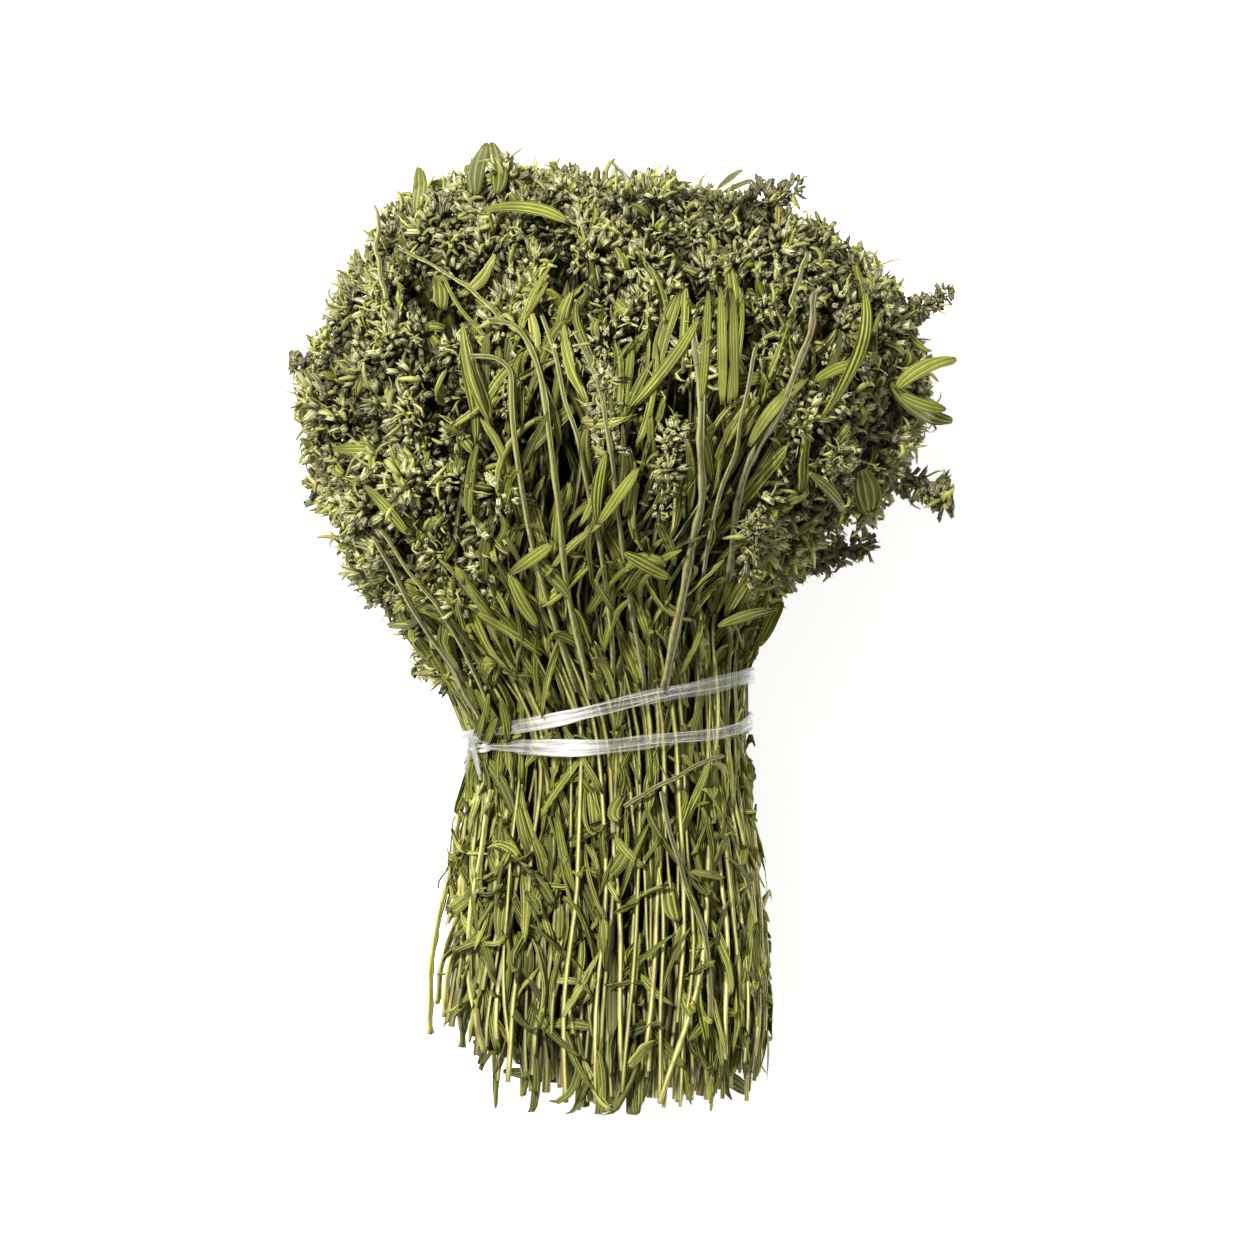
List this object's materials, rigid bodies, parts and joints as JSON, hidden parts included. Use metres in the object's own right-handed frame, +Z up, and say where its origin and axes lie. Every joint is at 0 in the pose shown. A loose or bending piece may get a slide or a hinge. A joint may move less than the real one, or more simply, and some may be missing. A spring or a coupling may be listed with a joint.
{
  "type": "dried thyme bundle",
  "caption": "Bundle of dried flowering thyme tied at the waist with clear plastic twine, lying on its side, for display or cooking.",
  "frame": {"origin": "middle of the bundle's box across and along, on the surface it lies on", "axes": "+Y along the stems from the cut ends to the flower heads, +X to the right when the heads point away from the viewer, +Z up from the surface it lies on"},
  "size_m": [0.1698, 0.2526, 0.1183],
  "materials": {
    "leafy_stem": "matt dried herb: olive green leaves on straw-coloured to grey-brown stems",
    "flower_head": "matt, finely hairy dried calyces, grey-olive with paler tips",
    "twine": "clear split-film twine with white highlights"
  },
  "bodies": {
    "root": {"flower_head_01": "flower_head", "flower_head_02": "flower_head", "flower_head_03": "flower_head", "flower_head_04": "flower_head", "flower_head_05": "flower_head", "flower_head_06": "flower_head", "flower_head_07": "flower_head", "flower_head_08": "flower_head", "flower_head_09": "flower_head", "flower_head_10": "flower_head", "flower_head_11": "flower_head", "flower_head_12": "flower_head", "flower_head_13": "flower_head", "flower_head_14": "flower_head", "flower_head_15": "flower_head", "flower_head_16": "flower_head", "flower_head_17": "flower_head", "flower_head_18": "flower_head", "flower_head_19": "flower_head", "flower_head_20": "flower_head", "flower_head_21": "flower_head", "flower_head_22": "flower_head", "flower_head_23": "flower_head", "flower_head_24": "flower_head", "inner_flowers": "flower_head", "inner_stems": "leafy_stem", "leafy_stem_01": "leafy_stem", "leafy_stem_02": "leafy_stem", "leafy_stem_03": "leafy_stem", "leafy_stem_04": "leafy_stem", "leafy_stem_05": "leafy_stem", "leafy_stem_06": "leafy_stem", "leafy_stem_07": "leafy_stem", "leafy_stem_08": "leafy_stem", "leafy_stem_09": "leafy_stem", "leafy_stem_10": "leafy_stem", "leafy_stem_11": "leafy_stem", "leafy_stem_12": "leafy_stem", "leafy_stem_13": "leafy_stem", "leafy_stem_14": "leafy_stem", "leafy_stem_15": "leafy_stem", "leafy_stem_16": "leafy_stem", "leafy_stem_17": "leafy_stem", "leafy_stem_18": "leafy_stem", "leafy_stem_19": "leafy_stem", "leafy_stem_20": "leafy_stem", "leafy_stem_21": "leafy_stem", "leafy_stem_22": "leafy_stem", "leafy_stem_23": "leafy_stem", "leafy_stem_24": "leafy_stem", "twine_tie": "twine"}
  },
  "joints": []
}
